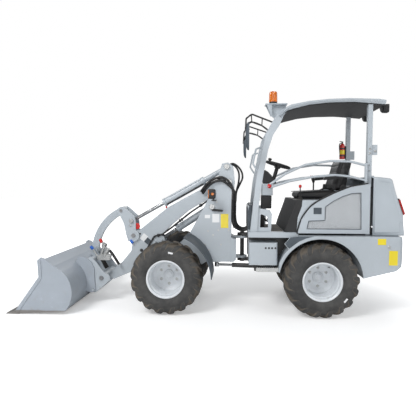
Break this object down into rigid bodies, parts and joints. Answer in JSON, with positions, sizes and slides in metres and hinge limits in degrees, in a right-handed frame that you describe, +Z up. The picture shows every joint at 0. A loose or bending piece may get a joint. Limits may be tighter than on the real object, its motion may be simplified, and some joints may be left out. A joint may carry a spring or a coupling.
{
  "type": "compact yard loader",
  "caption": "Articulated compact wheel loader with a central lift arm, a bucket on a quick coupler, an open cab frame with roof and side guards, and an engine hood at the rear.",
  "frame": {"origin": "on the ground under the middle of the whole machine", "axes": "+X towards the rear, +Y towards the far side, +Z up; the bucket faces -X"},
  "size_m": [4.293, 1.38, 2.514],
  "materials": {
    "paint_grey": "satin",
    "bucket_grey": "satin",
    "rim_grey": "satin",
    "frame_black": "satin",
    "cast_iron": "matte",
    "plastic_black": "matte",
    "plastic_slate": "matte",
    "seat_vinyl": "satin",
    "lens_orange": "gloss",
    "lens_red": "gloss",
    "paint_red": "gloss",
    "pin_steel": "satin",
    "rod_chrome": "polished",
    "tyre_rubber": "matte"
  },
  "bodies": {
    "rear_frame": {"rear_chassis": "frame_black", "rear_axle": "cast_iron", "platform": "paint_grey", "side_boxes": "paint_grey", "steps": "frame_black", "counterweight": "paint_grey", "rear_fenders": "paint_grey", "engine": "cast_iron", "engine_cover": "paint_grey", "side_panels": "paint_grey", "grilles": "plastic_black", "front_pillars": "paint_grey", "rear_posts": "paint_grey", "roof": "paint_grey", "beacon": "lens_orange", "work_lamps": "plastic_black", "extinguisher": "paint_red", "grab_handles": "frame_black", "mirror_arms": "frame_black", "mirror_heads": "plastic_slate", "seat_base": "plastic_black", "seat_cushion": "seat_vinyl", "seat_back": "seat_vinyl", "console": "plastic_black", "steering_column": "plastic_black", "controls": "plastic_black"},
    "hood": {"hood": "paint_grey", "tail_lamps": "lens_red"},
    "steering_wheel": {"steering_wheel": "plastic_black"},
    "guard_near": {"guard_near": "paint_grey"},
    "guard_far": {"guard_far": "paint_grey"},
    "front_frame": {"front_frame": "paint_grey", "front_axle": "cast_iron", "front_fenders": "plastic_slate", "front_lamps": "plastic_black"},
    "boom": {"boom": "paint_grey", "boom_hoses": "plastic_black"},
    "rocker_pin": {"rocker_pin": "pin_steel"},
    "rocker": {"rocker": "paint_grey"},
    "link_pin": {"link_pin": "pin_steel"},
    "link": {"link": "paint_grey"},
    "nose_pin": {"nose_pin": "pin_steel"},
    "coupler": {"coupler": "paint_grey", "bucket": "bucket_grey"},
    "lift_barrel": {"lift_barrel": "paint_grey"},
    "lift_rod": {"lift_rod": "rod_chrome"},
    "tilt_barrel": {"tilt_barrel": "paint_grey"},
    "tilt_rod": {"tilt_rod": "rod_chrome"},
    "steer_barrel": {"steer_barrel": "frame_black"},
    "steer_rod": {"steer_rod": "rod_chrome"},
    "wheel_front_near": {"tyre_front_near": "tyre_rubber", "rim_front_near": "rim_grey"},
    "wheel_front_far": {"tyre_front_far": "tyre_rubber", "rim_front_far": "rim_grey"},
    "wheel_rear_near": {"tyre_rear_near": "tyre_rubber", "rim_rear_near": "rim_grey"},
    "wheel_rear_far": {"tyre_rear_far": "tyre_rubber", "rim_rear_far": "rim_grey"}
  },
  "joints": [
    {"name": "articulation", "type": "hinge", "parent": "rear_frame", "child": "front_frame", "pos_m": [0.4405, 0, 0.65], "axis": [0, 0, 1], "range_deg": [-40, 40]},
    {"name": "boom_lift", "type": "hinge", "parent": "front_frame", "child": "boom", "pos_m": [0.2805, 0, 1.44], "axis": [0, 1, 0], "range_deg": [0, 65]},
    {"name": "nose_swivel", "type": "hinge", "parent": "boom", "child": "nose_pin", "pos_m": [-1.2275, 0, 0.304], "axis": [0, -1, 0], "range_deg": [0, 65]},
    {"name": "bucket_tilt", "type": "hinge", "parent": "nose_pin", "child": "coupler", "pos_m": [-1.2275, 0, 0.304], "axis": [0, -1, 0], "range_deg": [-32, 32]},
    {"name": "rocker_swivel", "type": "hinge", "parent": "boom", "child": "rocker_pin", "pos_m": [-0.8745, 0, 0.795], "axis": [0, -1, 0], "range_deg": [0, 65]},
    {"name": "rocker_tilt", "type": "hinge", "parent": "rocker_pin", "child": "rocker", "pos_m": [-0.8745, 0, 0.795], "axis": [0, -1, 0], "range_deg": [-32, 32]},
    {"name": "link_swivel", "type": "hinge", "parent": "rocker", "child": "link_pin", "pos_m": [-1.0245, 0, 1.097], "axis": [0, 1, 0], "range_deg": [0, 65]},
    {"name": "link_tilt", "type": "hinge", "parent": "link_pin", "child": "link", "pos_m": [-1.0245, 0, 1.097], "axis": [0, 1, 0], "range_deg": [-32, 32]},
    {"name": "lift_cylinder_swing", "type": "hinge", "parent": "front_frame", "child": "lift_barrel", "pos_m": [0.0865, 0, 1.154], "axis": [0, 1, 0], "range_deg": [0, 76.67]},
    {"name": "lift_cylinder_stroke", "type": "slide", "parent": "lift_barrel", "child": "lift_rod", "axis": [-0.8411, 0, -0.5409], "range_m": [0, 0.329]},
    {"name": "tilt_cylinder_swing", "type": "hinge", "parent": "front_frame", "child": "tilt_barrel", "pos_m": [0.2575, 0, 1.619], "axis": [0, 1, 0], "range_deg": [0, 65]},
    {"name": "tilt_cylinder_stroke", "type": "slide", "parent": "tilt_barrel", "child": "tilt_rod", "axis": [-0.8731, 0, -0.4876], "range_m": [-0.0908, 0.0908]},
    {"name": "steer_cylinder_swing", "type": "hinge", "parent": "rear_frame", "child": "steer_barrel", "pos_m": [0.6105, -0.16, 0.462], "axis": [0, 0, 1], "range_deg": [-25.15, 25.15]},
    {"name": "steer_cylinder_stroke", "type": "slide", "parent": "steer_barrel", "child": "steer_rod", "axis": [-0.9944, 0.1058, 0], "range_m": [-0.0982, 0.0982]},
    {"name": "steering_wheel_turn", "type": "hinge", "parent": "rear_frame", "child": "steering_wheel", "pos_m": [0.8625, 0, 1.646], "axis": [0.284, 0, 0.9588], "range_deg": [-485, 485]},
    {"name": "hood_hinge", "type": "hinge", "parent": "rear_frame", "child": "hood", "pos_m": [1.8125, 0, 1.495], "axis": [0, -1, 0], "range_deg": [0, 65]},
    {"name": "guard_near_hinge", "type": "hinge", "parent": "rear_frame", "child": "guard_near", "pos_m": [1.7425, -0.445, 1.54], "axis": [0, 0, 1], "range_deg": [0, 90]},
    {"name": "guard_far_hinge", "type": "hinge", "parent": "rear_frame", "child": "guard_far", "pos_m": [1.7425, 0.445, 1.54], "axis": [0, 0, -1], "range_deg": [0, 90]},
    {"name": "wheel_front_near_spin", "type": "hinge", "parent": "front_frame", "child": "wheel_front_near", "pos_m": [-0.3885, -0.49, 0.395], "axis": [0, 1, 0], "continuous": true},
    {"name": "wheel_front_far_spin", "type": "hinge", "parent": "front_frame", "child": "wheel_front_far", "pos_m": [-0.3885, 0.49, 0.395], "axis": [0, 1, 0], "continuous": true},
    {"name": "wheel_rear_near_spin", "type": "hinge", "parent": "rear_frame", "child": "wheel_rear_near", "pos_m": [1.2695, -0.49, 0.395], "axis": [0, 1, 0], "continuous": true},
    {"name": "wheel_rear_far_spin", "type": "hinge", "parent": "rear_frame", "child": "wheel_rear_far", "pos_m": [1.2695, 0.49, 0.395], "axis": [0, 1, 0], "continuous": true}
  ],
  "couplings": [
    {"joint": "nose_swivel", "follows": "boom_lift", "ratio": 1},
    {"joint": "rocker_swivel", "follows": "boom_lift", "ratio": 1},
    {"joint": "link_swivel", "follows": "boom_lift", "ratio": 1},
    {"joint": "lift_cylinder_swing", "follows": "boom_lift", "ratio": 1.1718},
    {"joint": "lift_cylinder_stroke", "follows": "boom_lift", "m_per_rad": 0.2882},
    {"joint": "tilt_cylinder_swing", "follows": "boom_lift", "ratio": 1},
    {"joint": "rocker_tilt", "follows": "bucket_tilt", "ratio": 1},
    {"joint": "link_tilt", "follows": "bucket_tilt", "ratio": 1},
    {"joint": "tilt_cylinder_stroke", "follows": "bucket_tilt", "m_per_rad": 0.15892},
    {"joint": "steer_cylinder_swing", "follows": "articulation", "ratio": 0.6163},
    {"joint": "steer_cylinder_stroke", "follows": "articulation", "m_per_rad": -0.13784},
    {"joint": "steering_wheel_turn", "follows": "articulation", "ratio": 12}
  ]
}
